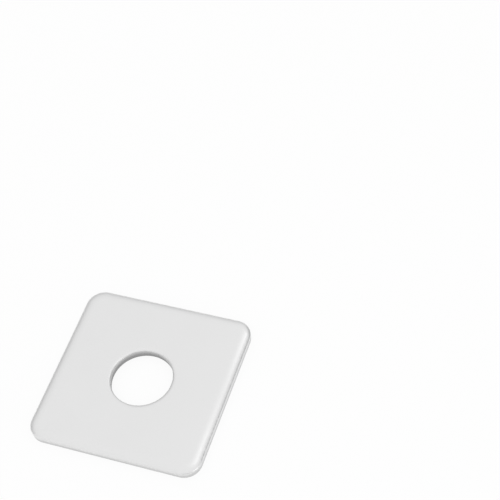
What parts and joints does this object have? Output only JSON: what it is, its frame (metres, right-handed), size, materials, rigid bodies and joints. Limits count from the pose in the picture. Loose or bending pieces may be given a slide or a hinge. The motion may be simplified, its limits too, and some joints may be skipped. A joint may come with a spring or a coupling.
{
  "type": "square plate washer",
  "caption": "Square flat washer with rounded corners, rolled upper edges and a round bolt hole in the middle, punched from steel plate and zinc plated.",
  "frame": {"origin": "on the axis of the bolt hole, in the plane of the underside that the washer lies on", "axes": "+Z along the bolt hole out of the upper face, the one with the rolled edges; +X and +Y at right angles to the sides of the square"},
  "size_m": [0.05, 0.05, 0.003],
  "materials": {
    "zinc_plate": "satin bright zinc plate on punched steel"
  },
  "bodies": {
    "root": {"plate_washer": "zinc_plate"}
  },
  "joints": []
}
